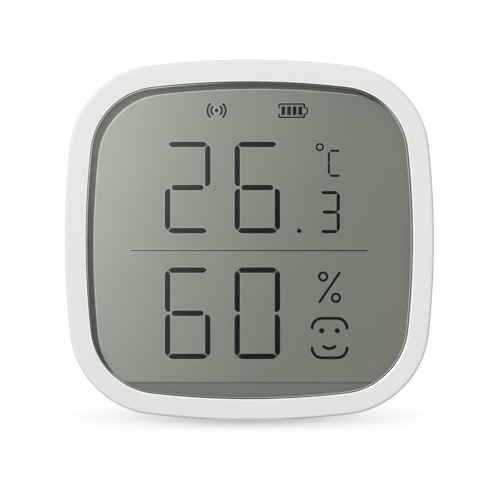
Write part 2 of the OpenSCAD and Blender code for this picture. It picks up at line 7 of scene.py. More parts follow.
import bmesh
import bpy
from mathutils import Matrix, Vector


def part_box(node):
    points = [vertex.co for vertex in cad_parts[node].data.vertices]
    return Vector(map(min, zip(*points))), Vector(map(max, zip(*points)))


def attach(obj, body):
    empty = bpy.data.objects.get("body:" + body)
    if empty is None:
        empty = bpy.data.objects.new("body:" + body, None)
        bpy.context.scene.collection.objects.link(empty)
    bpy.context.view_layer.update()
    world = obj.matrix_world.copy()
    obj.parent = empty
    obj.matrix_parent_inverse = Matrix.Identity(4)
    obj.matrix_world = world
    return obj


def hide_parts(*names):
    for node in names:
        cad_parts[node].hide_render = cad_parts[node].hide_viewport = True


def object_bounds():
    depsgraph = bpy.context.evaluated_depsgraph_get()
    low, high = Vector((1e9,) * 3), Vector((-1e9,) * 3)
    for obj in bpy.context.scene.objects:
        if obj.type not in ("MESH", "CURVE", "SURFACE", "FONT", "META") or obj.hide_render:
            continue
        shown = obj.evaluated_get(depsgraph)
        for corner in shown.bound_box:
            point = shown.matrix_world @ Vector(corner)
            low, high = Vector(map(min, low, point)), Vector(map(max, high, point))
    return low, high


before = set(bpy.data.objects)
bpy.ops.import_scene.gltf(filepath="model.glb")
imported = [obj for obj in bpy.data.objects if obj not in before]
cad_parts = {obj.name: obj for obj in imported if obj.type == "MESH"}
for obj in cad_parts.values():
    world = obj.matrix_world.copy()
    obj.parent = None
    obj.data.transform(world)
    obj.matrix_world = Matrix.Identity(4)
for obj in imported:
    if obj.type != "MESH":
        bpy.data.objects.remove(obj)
cad_low, cad_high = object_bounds()
MM = 0.001

# Outline of the case: bowed sides and top that meet in round corners, and a flat under the foot
SIDE_BOW = 142.0
TOP_BOW = 139.0
CORNER_R = 14.8
FOOT_CUT = 0.2
HALF_W = cad_high.x / MM
HALF_H = (cad_high.z / MM + FOOT_CUT) / 2
MID_Z = HALF_H - FOOT_CUT
BOW_STEPS = 16
CORNER_STEPS = 28


def depth_of(node):
    """Front and back depth of a CAD node in millimetres."""
    low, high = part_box(node)
    return low.y / MM, high.y / MM


# Depths of the case and the display, read from the frame
CASE_FRONT, PARTING = depth_of("front_bezel")
RIM_BACK, TAPE_BACK = depth_of("window_tape")
WINDOW_FRONT, WINDOW_BACK = depth_of("display_window")
FILM_FRONT, GLASS_FRONT = depth_of("lcd_front_polariser")
GLASS_BACK = depth_of("lcd_front_glass")[1]
STRIP_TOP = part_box("lcd_front_polariser")[0].z / MM

# Insets of the case's pieces from its outline
SIDE_WALL = 2.0
RIM_W = 3.38
BRIGHT_EDGE_W = 0.17
BRIGHT_EDGE_D = 0.1
FRONT_ROUND = 0.4
WINDOW_GAP = 0.17
WINDOW_SHIFT_X = -0.06
OPENING_DROP = 0.18
TAPE_INSET = 3.25
FLANGE_INSET = 2.2
GASKET_W = 0.7
GLASS_INSET = 3.0
FILM_SHIFT_X = 1.1
FILM_SHIFT_Z = 1.18
FILM_WIDER = 0.35
FILM_FLARE = 0.9
FLARE_FROM = 12.5


def arc(centre, radius, start, end, steps):
    """Points of an arc between two angles in degrees, both ends among them."""
    points = []
    for i in range(steps + 1):
        angle = math.radians(start + (end - start) * i / steps)
        points.append((centre[0] + radius * math.cos(angle), centre[1] + radius * math.sin(angle)))
    return points


def corner_centre():
    """Centre of the upper right corner from the case's middle, and the angles at its arc's ends."""
    side_x = HALF_W - SIDE_BOW
    top_z = HALF_H - TOP_BOW
    gap = math.hypot(side_x, top_z)
    along_x = -side_x / gap
    along_z = top_z / gap
    side_reach = SIDE_BOW - CORNER_R
    top_reach = TOP_BOW - CORNER_R
    along = (side_reach ** 2 - top_reach ** 2 + gap ** 2) / (2 * gap)
    across = math.sqrt(side_reach ** 2 - along ** 2)
    x = side_x + along * along_x - across * along_z
    z = along * along_z + across * along_x
    side_end = math.degrees(math.atan2(z, x - side_x))
    top_start = math.degrees(math.atan2(z - top_z, x))
    return (x, z), side_end, top_start


CORNER_C, SIDE_END, TOP_START = corner_centre()


def bowed_outline(inset):
    """Closed outline at a distance inside the case, counterclockwise from the right."""
    side = arc((HALF_W - SIDE_BOW, 0), SIDE_BOW - inset, 0, SIDE_END, BOW_STEPS)
    corner = arc(CORNER_C, CORNER_R - inset, SIDE_END, TOP_START, CORNER_STEPS)
    top = arc((0, HALF_H - TOP_BOW), TOP_BOW - inset, TOP_START, 90, BOW_STEPS)
    quarter = side + corner[1:] + top[1:]
    right = quarter[:-1]
    left = [(-x, z) for x, z in reversed(quarter[1:])]
    points = right + left + [(-x, -z) for x, z in right] + [(-x, -z) for x, z in left]
    return [(x, MID_Z + z) for x, z in points]


def opening_outline(inset):
    """Outline round the opening, whose top lies a little lower than a rim of even width would put it."""
    lowered = []
    for x, z in bowed_outline(inset):
        rise = max(z - MID_Z, 0.0) / HALF_H
        lowered.append((x, z - OPENING_DROP * rise ** 2))
    return lowered


def overlap(shape, other):
    """Part of a convex outline that lies inside another one; both run counterclockwise."""
    for i, start in enumerate(other):
        end = other[(i + 1) % len(other)]
        edge = (end[0] - start[0], end[1] - start[1])
        sides = [edge[0] * (p[1] - start[1]) - edge[1] * (p[0] - start[0]) for p in shape]
        kept = []
        for k, point in enumerate(shape):
            following = shape[(k + 1) % len(shape)]
            here = sides[k]
            there = sides[(k + 1) % len(shape)]
            if here >= 0:
                kept.append(point)
            if (here > 0 > there) or (here < 0 < there):
                share = here / (here - there)
                kept.append(tuple(a + (b - a) * share for a, b in zip(point, following)))
        shape = kept
    return shape


def grown(shape, distance):
    """Counterclockwise outline with its edges moved outwards, or inwards where the distance is negative."""
    least_miter = 0.3
    points = []
    for i, point in enumerate(shape):
        before = Vector(point) - Vector(shape[i - 1])
        after = Vector(shape[(i + 1) % len(shape)]) - Vector(point)
        first = Vector((before.y, -before.x)).normalized()
        second = Vector((after.y, -after.x)).normalized()
        miter = (first + second).normalized()
        moved = Vector(point) + miter * (distance / max(miter.dot(first), least_miter))
        points.append((moved.x, moved.y))
    return points


def rounded(shape, radius, steps=3):
    """Outline with its corners rounded off, by less where an edge is short."""
    edge_share = 0.45
    points = []
    for i, point in enumerate(shape):
        corner = Vector(point)
        before = Vector(shape[i - 1]) - corner
        after = Vector(shape[(i + 1) % len(shape)]) - corner
        start = corner + before.normalized() * min(radius, before.length * edge_share)
        end = corner + after.normalized() * min(radius, after.length * edge_share)
        for k in range(steps + 1):
            t = k / steps
            p = start * (1 - t) ** 2 + corner * (2 * t * (1 - t)) + end * t ** 2
            points.append((p.x, p.y))
    return points


# Mesh building: every shape is added to a bmesh in millimetres, and becomes a piece in metres


def add_rows(bm, rows, looped=False):
    """Skins rows of points of the same length, in order; the skin closes on itself or has end caps."""
    made = [[bm.verts.new(p) for p in row] for row in rows]
    pairs = list(zip(made, made[1:]))
    if looped:
        pairs.append((made[-1], made[0]))
    count = len(made[0])
    faces = []
    for first, second in pairs:
        for i in range(count):
            k = (i + 1) % count
            faces.append(bm.faces.new((first[i], first[k], second[k], second[i])))
    if not looped:
        faces.append(bm.faces.new(made[0]))
        faces.append(bm.faces.new(list(reversed(made[-1]))))
    return faces


def case_row(inset, depth):
    """One row of a skin: an outline at a depth, kept above the surface that the case stands on."""
    shape = opening_outline(inset) if inset > FLANGE_INSET else bowed_outline(inset)
    return [(x, depth, max(z, 0.0)) for x, z in shape]


def add_plate(bm, shape, front, back, edge=0.0):
    """Flat plate of an outline between two depths, with a small chamfer on its front edge."""
    rows = []
    if edge:
        rows.append([(x, front, z) for x, z in grown(shape, -edge)])
    rows.append([(x, front + edge, z) for x, z in shape])
    rows.append([(x, back, z) for x, z in shape])
    return add_rows(bm, rows)


def add_band(bm, outer, inner, front, back):
    """Flat closed ring between two outlines of as many points."""
    rows = [[(x, depth, z) for x, z in shape]
            for shape, depth in ((outer, back), (outer, front), (inner, front), (inner, back))]
    return add_rows(bm, rows, looped=True)


def add_turned(bm, profile, origin, axis, steps, material=0):
    """Turned solid: radius and height pairs about an axis, closed where the radius is nothing."""
    along = Vector(axis).normalized()
    across = along.orthogonal().normalized()
    third = along.cross(across)
    start = Vector(origin)
    rows = []
    for radius, height in profile:
        if radius == 0:
            rows.append([bm.verts.new(start + along * height)])
            continue
        ring = []
        for i in range(steps):
            turn = 2 * math.pi * i / steps
            ring.append(bm.verts.new(start + along * height
                                     + (across * math.cos(turn) + third * math.sin(turn)) * radius))
        rows.append(ring)
    faces = []
    for first, second in zip(rows, rows[1:]):
        for i in range(steps):
            k = (i + 1) % steps
            if len(first) == 1:
                faces.append(bm.faces.new((first[0], second[k], second[i])))
            elif len(second) == 1:
                faces.append(bm.faces.new((first[i], first[k], second[0])))
            else:
                faces.append(bm.faces.new((first[i], first[k], second[k], second[i])))
    for face in faces:
        face.material_index = material
    return faces


def add_tube(bm, path, radius, sides):
    """Round wire along a path of points, with domed ends."""
    end_share = 0.6
    points = [Vector(p) for p in path]
    rows = []
    side = None
    for i, point in enumerate(points):
        ahead = (points[min(i + 1, len(points) - 1)] - points[max(i - 1, 0)]).normalized()
        side = ahead.orthogonal() if side is None else side - ahead * side.dot(ahead)
        side.normalize()
        other = ahead.cross(side)
        size = radius * (end_share if i in (0, len(points) - 1) else 1.0)
        rows.append([point + (side * math.cos(2 * math.pi * k / sides)
                              + other * math.sin(2 * math.pi * k / sides)) * size for k in range(sides)])
    return add_rows(bm, rows)


def weigh_normals(mesh, sharp):
    """Corner normals in which larger faces count for more, so that flats stay flat beside rounded edges."""
    limit = math.cos(math.radians(sharp))
    normals = [face.normal.copy() for face in mesh.polygons]
    around = [[] for vertex in mesh.vertices]
    for face in mesh.polygons:
        for vertex in face.vertices:
            around[vertex].append((normals[face.index], normals[face.index] * face.area))
    corners = []
    for face in mesh.polygons:
        own = normals[face.index]
        for vertex in face.vertices:
            total = Vector()
            for normal, weighted in around[vertex]:
                if normal.dot(own) > limit:
                    total += weighted
            corners.append(total.normalized())
    mesh.normals_split_custom_set(corners)


def piece(name, bm, materials, body="case", stands_for=(), sharp=32.0):
    """Turns a bmesh in millimetres into a piece that rides on a CAD body."""
    bmesh.ops.scale(bm, vec=(MM, MM, MM), verts=bm.verts)
    bmesh.ops.recalc_face_normals(bm, faces=bm.faces)
    mesh = bpy.data.meshes.new(name)
    bm.to_mesh(mesh)
    bm.free()
    mesh.shade_smooth()
    mesh.set_sharp_from_angle(angle=math.radians(sharp))
    weigh_normals(mesh, sharp)
    made = bpy.data.objects.new(name, mesh)
    bpy.context.scene.collection.objects.link(made)
    for material in materials:
        mesh.materials.append(material)
    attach(made, body)
    if stands_for:
        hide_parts(*stands_for)
    return made


def dressed(node, name, material, body="case", edge=0.0):
    """Piece with the shape of a CAD node, welded to a clean mesh with its sharp edges broken."""
    weld = 0.001
    flat = math.radians(0.3)
    hard = math.radians(40)
    bm = bmesh.new()
    bm.from_mesh(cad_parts[node].data)
    bmesh.ops.scale(bm, vec=(1 / MM, 1 / MM, 1 / MM), verts=bm.verts)
    bmesh.ops.remove_doubles(bm, verts=bm.verts, dist=weld)
    bmesh.ops.dissolve_limit(bm, angle_limit=flat, verts=bm.verts, edges=bm.edges)
    if edge:
        corners = [e for e in bm.edges if e.is_manifold and e.calc_face_angle(0.0) > hard]
        bmesh.ops.bevel(bm, geom=corners, offset=edge, segments=2, profile=0.5, affect="EDGES",
                        clamp_overlap=True)
    for face in bm.faces:
        face.material_index = 0
    return piece(name, bm, [material], body, (node,))


# Materials: each starts from the real substance and how its surface was made


def colour(code):
    """Linear colour of an sRGB hex value."""
    linear = []
    for i in (1, 3, 5):
        c = int(code[i:i + 2], 16) / 255
        linear.append(c / 12.92 if c <= 0.04045 else ((c + 0.055) / 1.055) ** 2.4)
    return (*linear, 1.0)


def add_node(tree, kind, values=None, links=None, **settings):
    """Adds a node with its settings, the values of its sockets and the outputs that feed them."""
    made = tree.nodes.new(kind)
    for name, value in settings.items():
        setattr(made, name, value)
    for socket, value in (values or {}).items():
        made.inputs[socket].default_value = value
    for socket, source in (links or {}).items():
        tree.links.new(source, made.inputs[socket])
    return made


def new_material(name):
    """Empty material with its node tree, its output and the place on the object that patterns follow."""
    made = bpy.data.materials.new(name)
    made.use_nodes = True
    tree = made.node_tree
    tree.nodes.clear()
    output = tree.nodes.new("ShaderNodeOutputMaterial")
    place = add_node(tree, "ShaderNodeTexCoord").outputs["Object"]
    return made, tree, output, place


def per_metre(size):
    """Scale of a pattern in object coordinates whose features are that many millimetres apart."""
    return 1 / (size * MM)


def set_tints(ramp, tints):
    """Gives a colour ramp its tints, each with its place between nothing and one."""
    stops = ramp.color_ramp.elements
    for stop, (position, code) in zip(stops, (tints[0], tints[-1])):
        stop.position = position
        stop.color = colour(code)
    for position, code in tints[1:-1]:
        stops.new(position).color = colour(code)


def mottled(name, dark, light, patch, grain, roughness, bump=0.0, spread=0.06, **sockets):
    """Surface with a slow drift between two colours, patches of gloss and a fine grain.

    The patch and the grain are sizes in millimetres, and the bump is the grain's height in millimetres.
    """
    made, tree, output, place = new_material(name)
    drift = add_node(tree, "ShaderNodeTexNoise", {"Scale": per_metre(patch), "Detail": 3.0},
                     {"Vector": place}).outputs["Fac"]
    fine = add_node(tree, "ShaderNodeTexNoise", {"Scale": per_metre(grain), "Detail": 2.0},
                    {"Vector": place}).outputs["Fac"]
    tint = add_node(tree, "ShaderNodeValToRGB", links={"Fac": drift})
    set_tints(tint, [(0.3, dark), (0.7, light)])
    gloss = add_node(tree, "ShaderNodeMapRange",
                     {"To Min": roughness - spread, "To Max": roughness + spread}, {"Value": fine})
    links = {"Base Color": tint.outputs["Color"], "Roughness": gloss.outputs["Result"]}
    if bump:
        relief = add_node(tree, "ShaderNodeBump", {"Strength": 1.0, "Distance": bump * MM}, {"Height": fine})
        links["Normal"] = relief.outputs["Normal"]
    shader = add_node(tree, "ShaderNodeBsdfPrincipled", sockets, links)
    tree.links.new(shader.outputs["BSDF"], output.inputs["Surface"])
    return made


# ABS, injection moulded in a fine-eroded tool: matt white with a soft, broad highlight and a faint grain
white_abs = mottled("abs_white_moulded", "#E1E1E1", "#E3E3E3", 18, 0.3, 0.64, 0.002, IOR=1.46)
# ABS, moulded against a polished core: the inside of the shells is smoother and a little glossier
inner_abs = mottled("abs_white_polished_core", "#DEDEDC", "#E4E4E2", 14, 0.4, 0.3, 0.001, IOR=1.5)
# Chamfered edge of the opening: a hard line that mirrors the studio, and whiter than the rim as a painted
# highlight all round
painted_highlight_edge = mottled("opening_edge_painted_highlight", "#F6F6F4", "#FDFDFB", 6, 0.2, 0.16, 0.0, 0.03,
                      Metallic=0.85)
# Acrylic foam tape: dull charcoal, slightly fibrous
tape_black = mottled("adhesive_tape_charcoal", "#242423", "#30302E", 3, 0.12, 0.8, 0.006, 0.1, IOR=1.45)
# Open-cell polyurethane foam, die cut: dull near-black with fine pores
foam_black = mottled("polyurethane_foam_charcoal", "#2B2B2A", "#3A3A38", 2, 0.16, 0.92, 0.03, 0.05, IOR=1.4)
# Reflector film behind the cell, metallised and embossed: satin silver with a fine grain
reflector_silver = mottled("reflector_film_embossed", "#A9ADA6", "#C2C6BF", 2, 0.1, 0.45, 0.003, 0.1,
                           Metallic=0.7)
# Polycarbonate display carrier, moulded: milky white, low gloss
carrier_white = mottled("polycarbonate_carrier", "#D3D4D0", "#DDDEDA", 9, 0.3, 0.4, 0.001, IOR=1.58)
# Steel spring wire and strip, nickel plated: bright warm grey with light handling marks
plated_steel = mottled("steel_nickel_plated", "#A8A69E", "#C4C2BA", 1.5, 0.15, 0.24, 0.001, 0.09,
                       Metallic=1.0)
# Tinned steel shield, stamped: duller and greyer than the contacts
tinned_steel = mottled("steel_tinned_stamped", "#9A9C9D", "#B3B5B6", 2, 0.2, 0.33, 0.002, 0.08, Metallic=1.0)
# Moulding epoxy of chips, cast: near-black with a fine matt grain
chip_epoxy = mottled("epoxy_chip_moulding", "#1B1B1C", "#262627", 1.2, 0.1, 0.6, 0.003, 0.08, IOR=1.55)
# Barium titanate ceramic, fired: tan and slightly chalky
capacitor_tan = mottled("ceramic_capacitor_fired", "#A98B66", "#BA9C76", 0.8, 0.12, 0.5, 0.002, 0.08, IOR=1.6)
# Acetal plunger of the switch, moulded: cream, waxy
acetal_cream = mottled("acetal_moulded_plunger", "#D8D2C2", "#E2DDCF", 2, 0.2, 0.35, 0.001, IOR=1.48)
# Nylon housing of the switch, moulded with glass fibre: dark grey with fibre mottling
nylon_grey = mottled("nylon_glass_filled", "#303133", "#3D3E40", 1.0, 0.12, 0.55, 0.002, 0.08, IOR=1.53)


def film_with_painted_light(name, tints, down_weight, roughness, ior, gloss):
    """Display sheet over the reflector, whose tints drift from the upper left to the lower right: a painted
    gradient of light, brightest at the upper left.

    Each tint has its place between nothing at the upper left and one at the lower right.
    """
    made, tree, output, place = new_material(name)
    axes = add_node(tree, "ShaderNodeSeparateXYZ", links={"Vector": place})
    left = -26.0
    width = 53.0
    top = 55.0
    height = 52.0
    stray = 0.02
    across = add_node(tree, "ShaderNodeMapRange",
                      {"From Min": left * MM, "From Max": (left + width) * MM}, {"Value": axes.outputs["X"]})
    down = add_node(tree, "ShaderNodeMapRange",
                    {"From Min": top * MM, "From Max": (top - height) * MM, "To Max": down_weight},
                    {"Value": axes.outputs["Z"]})
    both = add_node(tree, "ShaderNodeMath", links={0: across.outputs["Result"], 1: down.outputs["Result"]},
                    operation="ADD")
    share = add_node(tree, "ShaderNodeMath", {1: 1 + down_weight}, {0: both.outputs["Value"]},
                     operation="DIVIDE")
    haze = add_node(tree, "ShaderNodeTexNoise", {"Scale": per_metre(9.0), "Detail": 2.0}, {"Vector": place})
    wander = add_node(tree, "ShaderNodeMapRange", {"To Min": -stray, "To Max": stray},
                      {"Value": haze.outputs["Fac"]})
    spot = add_node(tree, "ShaderNodeMath",
                    links={0: share.outputs["Value"], 1: wander.outputs["Result"]}, operation="ADD")
    ramp = add_node(tree, "ShaderNodeValToRGB", links={"Fac": spot.outputs["Value"]})
    set_tints(ramp, tints)
    shader = add_node(tree, "ShaderNodeBsdfPrincipled",
                      {"Roughness": roughness, "IOR": ior, "Specular IOR Level": gloss},
                      {"Base Color": ramp.outputs["Color"]})
    tree.links.new(shader.outputs["BSDF"], output.inputs["Surface"])
    return made


# Polariser of stretched film, laminated with a matt coat: grey-green, with painted light that makes it
# brightest at the upper left
FILM_PAINTED_LIGHT_TINTS = [(0.0, "#BFC7BB"), (0.2, "#A8ADA4"), (0.37, "#979D93"), (0.62, "#858B81"), (1.0, "#7F8279")]
polariser_film = film_with_painted_light("polariser_film_on_reflector", FILM_PAINTED_LIGHT_TINTS, 0.31, 0.6, 1.3, 0.1)
# Soda-lime display glass, float made: the bare border beside the film, smooth and in the rim's shade, with
# painted light that brightens it towards the upper left corner
BORDER_PAINTED_LIGHT_TINTS = [(0.06, "#D5D9CD"), (0.25, "#989C91"), (1.0, "#94988E")]
border_glass = film_with_painted_light("display_glass_border", BORDER_PAINTED_LIGHT_TINTS, 1.0, 0.14, 1.52, 0.5)
# Liquid crystal where it is driven, seen through the film: near black, with painted light that makes it a
# little paler towards the upper left
INK_PAINTED_LIGHT_TINTS = [(0.2, "#4D4D4C"), (0.31, "#3B3B3A"), (0.41, "#272727"), (0.53, "#111111"), (0.65, "#050505")]
driven_crystal = film_with_painted_light("liquid_crystal_driven", INK_PAINTED_LIGHT_TINTS, 0.35, 0.6, 1.3, 0.1)
# Pale ring round each sign, lighter than the rest of the cell: a painted glow, with the film's painted light
# gradient
GLOW_PAINTED_LIGHT_TINTS = [(0.0, "#DDE3D9"), (0.2, "#BDC4BA"), (0.37, "#ADB3A9"), (0.62, "#8F968B"), (1.0, "#858880")]
painted_glow_fringe = film_with_painted_light("painted_glow_round_signs", GLOW_PAINTED_LIGHT_TINTS, 0.35, 0.6, 1.3, 0.1)
# Cut edge of the polariser: pale, a painted highlight along the film's edge
film_edge_painted_highlight = mottled("polariser_edge_painted_highlight", "#CDD1C9", "#DADDD5", 4, 0.1, 0.5, 0.002, 0.1, IOR=1.5)
# Lower edge of the film, dark and matt: painted shade at the step above the ledge, with the film's painted
# light gradient
LOWER_EDGE_PAINTED_SHADE_TINTS = [(0.3, "#878D82"), (0.6, "#767C71"), (1.0, "#6F756A")]
lower_edge_painted_shade = film_with_painted_light("film_lower_edge_painted_shade", LOWER_EDGE_PAINTED_SHADE_TINTS, 0.31, 0.6, 1.5, 0.3)


def clear_window():
    """Acrylic, cast and coated against reflections: nearly unseen square on, glossy at a slant."""
    coating_share = 0.039
    made, tree, output, place = new_material("acrylic_cast_coated")
    edge_gloss = add_node(tree, "ShaderNodeFresnel", {"IOR": 1.49})
    coated = add_node(tree, "ShaderNodeMath", {1: coating_share}, {0: edge_gloss.outputs["Fac"]},
                      operation="SUBTRACT", use_clamp=True)
    smear = add_node(tree, "ShaderNodeTexNoise", {"Scale": per_metre(20.0), "Detail": 4.0},
                     {"Vector": place})
    gloss = add_node(tree, "ShaderNodeMapRange", {"To Min": 0.02, "To Max": 0.07},
                     {"Value": smear.outputs["Fac"]})
    shader = add_node(tree, "ShaderNodeBsdfPrincipled",
                      {"Base Color": colour("#F4F7F4"), "Metallic": 1.0},
                      {"Alpha": coated.outputs["Value"], "Roughness": gloss.outputs["Result"]})
    tree.links.new(shader.outputs["BSDF"], output.inputs["Surface"])
    return made


# Tints round the window's edge, by direction from its middle: degrees counterclockwise from the right. They
# are painted light and shade: pale where the edge would be lit, dim where the rim would shade it
EDGE_PAINTED_LIT = "#D8DCD6"
EDGE_PAINTED_HALF_LIT = "#B0B4AC"
EDGE_PAINTED_SHADE = "#7A7E76"
EDGE_PAINTED_LIGHT_TINTS = [(-180, EDGE_PAINTED_LIT), (-150, EDGE_PAINTED_SHADE), (-140, EDGE_PAINTED_SHADE), (-134, EDGE_PAINTED_HALF_LIT), (-97, EDGE_PAINTED_HALF_LIT),
              (-60, EDGE_PAINTED_LIT), (38, EDGE_PAINTED_LIT), (48, EDGE_PAINTED_SHADE), (97, EDGE_PAINTED_SHADE), (120, EDGE_PAINTED_LIT),
              (180, EDGE_PAINTED_LIT)]


def sawn_edge():
    """Acrylic, saw-cut edge of the window: frosted, with painted light and shade by direction: a pale line
    where the rim would leave it in the light, dim where it would shade it.
    """
    made, tree, output, place = new_material("acrylic_sawn_edge")
    axes = add_node(tree, "ShaderNodeSeparateXYZ", links={"Vector": place})
    raised = add_node(tree, "ShaderNodeMath", {1: MID_Z * MM}, {0: axes.outputs["Z"]}, operation="SUBTRACT")
    turn = add_node(tree, "ShaderNodeMath", links={0: raised.outputs["Value"], 1: axes.outputs["X"]},
                    operation="ARCTAN2")
    share = add_node(tree, "ShaderNodeMapRange", {"From Min": -math.pi, "From Max": math.pi},
                     {"Value": turn.outputs["Value"]})
    tint = add_node(tree, "ShaderNodeValToRGB", links={"Fac": share.outputs["Result"]})
    set_tints(tint, [((degrees + 180) / 360, code) for degrees, code in EDGE_PAINTED_LIGHT_TINTS])
    grain = add_node(tree, "ShaderNodeTexNoise", {"Scale": per_metre(0.12), "Detail": 2.0}, {"Vector": place})
    relief = add_node(tree, "ShaderNodeBump", {"Strength": 1.0, "Distance": 0.004 * MM},
                      {"Height": grain.outputs["Fac"]})
    shader = add_node(tree, "ShaderNodeBsdfPrincipled", {"Roughness": 0.55, "IOR": 1.49},
                      {"Base Color": tint.outputs["Color"], "Normal": relief.outputs["Normal"]})
    tree.links.new(shader.outputs["BSDF"], output.inputs["Surface"])
    return made


window_acrylic = clear_window()
sawn_acrylic = sawn_edge()
# Acrylic, inner face of the window: polished and touching nothing, so that it barely shows
inner_acrylic = mottled("acrylic_polished_inner_face", "#F2F5F2", "#F6F8F6", 20, 2.0, 0.08, 0.0, 0.03,
                        Alpha=0.01)


def striped(name, dark, light, pitch, share, axis, roughness, bump=0.0, fade=0.0):
    """Surface ruled with fine parallel lines of a second colour, a pitch in millimetres apart.

    The fade is how much lighter than the right end the left end of the case is: a painted light gradient.
    """
    made, tree, output, place = new_material(name)
    axes = add_node(tree, "ShaderNodeSeparateXYZ", links={"Vector": place})
    grain = add_node(tree, "ShaderNodeTexNoise", {"Scale": per_metre(0.25), "Detail": 2.0}, {"Vector": place})
    count = add_node(tree, "ShaderNodeMath", {1: per_metre(pitch)}, {0: axes.outputs[axis]},
                     operation="MULTIPLY")
    cycle = add_node(tree, "ShaderNodeMath", links={0: count.outputs["Value"]}, operation="FRACT")
    line = add_node(tree, "ShaderNodeMath", {1: share}, {0: cycle.outputs["Value"]},
                    operation="LESS_THAN")
    soft = add_node(tree, "ShaderNodeMapRange", {"To Min": -0.3, "To Max": 0.3},
                    {"Value": grain.outputs["Fac"]})
    mixed = add_node(tree, "ShaderNodeMath", links={0: line.outputs["Value"], 1: soft.outputs["Result"]},
                     operation="ADD")
    ramp = add_node(tree, "ShaderNodeValToRGB", links={"Fac": mixed.outputs["Value"]})
    set_tints(ramp, [(0.0, dark), (1.0, light)])
    gain = add_node(tree, "ShaderNodeMapRange",
                    {"From Min": HALF_W * MM, "From Max": -HALF_W * MM, "To Min": 1.0, "To Max": 1.0 + fade},
                    {"Value": axes.outputs["X"]})
    tint = add_node(tree, "ShaderNodeVectorMath", operation="SCALE",
                    links={0: ramp.outputs["Color"], "Scale": gain.outputs["Result"]})
    links = {"Base Color": tint.outputs["Vector"]}
    if bump:
        relief = add_node(tree, "ShaderNodeBump", {"Distance": bump * MM}, {"Height": mixed.outputs["Value"]})
        links["Normal"] = relief.outputs["Normal"]
    shader = add_node(tree, "ShaderNodeBsdfPrincipled", {"Roughness": roughness}, links)
    tree.links.new(shader.outputs["BSDF"], output.inputs["Surface"])
    return made


# Bare glass ledge with its etched conductor tracks, drawn coarser than real so that the grain shows, and
# lighter towards the left as painted light
track_glass = striped("display_glass_etched_tracks", "#666B62", "#6D7368", 0.45, 0.5, "X", 0.4, fade=0.25)
# Silicone rubber connector of conducting and insulating layers in turn
zebra_rubber = striped("silicone_zebra_layers", "#2A2A2C", "#9B9E9F", 0.2, 0.45, "X", 0.55)
# Woven polyester membrane behind the vents, drawn coarser than real so that the threads show
vent_mesh = striped("polyester_woven_membrane", "#35373A", "#55585C", 0.3, 0.5, "Z", 0.75, 0.03)


def printed_board(name, mask, copper, cell):
    """Glass epoxy board under solder mask: green, with copper tracks that show as paler, raised islands."""
    made, tree, output, place = new_material(name)
    islands = add_node(tree, "ShaderNodeTexBrick",
                       {"Scale": per_metre(cell), "Mortar Size": 0.06, "Color1": colour(copper),
                        "Color2": colour(mask), "Mortar": colour(mask)}, {"Vector": place})
    weave = add_node(tree, "ShaderNodeTexNoise", {"Scale": per_metre(0.4)}, {"Vector": place})
    gloss = add_node(tree, "ShaderNodeMapRange", {"To Min": 0.22, "To Max": 0.4},
                     {"Value": weave.outputs["Fac"]})
    relief = add_node(tree, "ShaderNodeBump", {"Distance": 0.03 * MM}, {"Height": islands.outputs["Fac"]})
    shader = add_node(tree, "ShaderNodeBsdfPrincipled", {"IOR": 1.55},
                      {"Base Color": islands.outputs["Color"], "Roughness": gloss.outputs["Result"],
                       "Normal": relief.outputs["Normal"]})
    tree.links.new(shader.outputs["BSDF"], output.inputs["Surface"])
    return made


board_green = printed_board("glass_epoxy_solder_mask", "#17472C", "#21583A", 2.4)
module_green = printed_board("glass_epoxy_module_mask", "#123C2A", "#1A4C36", 1.5)
# Polypropylene shrink sleeve of a cell, printed plain: grey-blue satin
cell_sleeve = mottled("polypropylene_cell_sleeve", "#566472", "#5F6D7B", 8, 0.3, 0.3, 0.001, IOR=1.49)
# Printed band of the sleeve at the positive end, pale and satin
cell_band = mottled("polypropylene_sleeve_band", "#C9CDCB", "#D4D8D6", 8, 0.3, 0.3, 0.001, IOR=1.49)
# Drawn steel can of a cell, nickel plated: bright, with faint drawing marks
cell_steel = mottled("steel_can_drawn_plated", "#B4B3AE", "#CBCAC5", 1.2, 0.12, 0.22, 0.001, 0.08,
                     Metallic=1.0)


# Front shell


def front_bezel():
    """Front shell: rounded front edge, flat rim, a chamfered edge round the opening with a painted highlight,
    and a lap at the back.
    """
    chamfer = 0.25
    wall_row = -4.0
    rim_from = FRONT_ROUND + 0.05
    lap_inset = 1.0
    lap_depth = 2.55
    groove_from = PARTING - 1.75
    groove_to = PARTING - 0.75
    groove_inset = 0.7
    rounding = arc((FRONT_ROUND, CASE_FRONT + FRONT_ROUND), FRONT_ROUND, 180, 270, 8)
    outside = [(chamfer, PARTING), (0.0, PARTING - chamfer), (0.0, wall_row)] + rounding
    rim = [(rim_from, CASE_FRONT), (RIM_W - BRIGHT_EDGE_W, CASE_FRONT)]
    edge = [(RIM_W, CASE_FRONT + BRIGHT_EDGE_D)]
    inside = [(RIM_W, RIM_BACK), (SIDE_WALL, RIM_BACK), (SIDE_WALL, PARTING - lap_depth),
              (lap_inset, PARTING - lap_depth), (lap_inset, groove_from), (groove_inset, groove_from),
              (groove_inset, groove_to), (lap_inset, groove_to), (lap_inset, PARTING)]
    profile = outside + rim + edge + inside
    bm = bmesh.new()
    faces = add_rows(bm, [case_row(inset, depth) for inset, depth in profile], looped=True)
    per_row = len(bowed_outline(0))
    edge_row = len(outside) + len(rim) - 1
    # The chamfer round the opening takes the whiter material: a painted highlight
    for face in faces[edge_row * per_row:(edge_row + 1) * per_row]:
        face.material_index = 1
    for face in faces[(edge_row + 2) * per_row:]:
        face.material_index = 2
    return piece("case_front_bezel", bm, [white_abs, painted_highlight_edge, inner_abs],
                 stands_for=("front_bezel",))


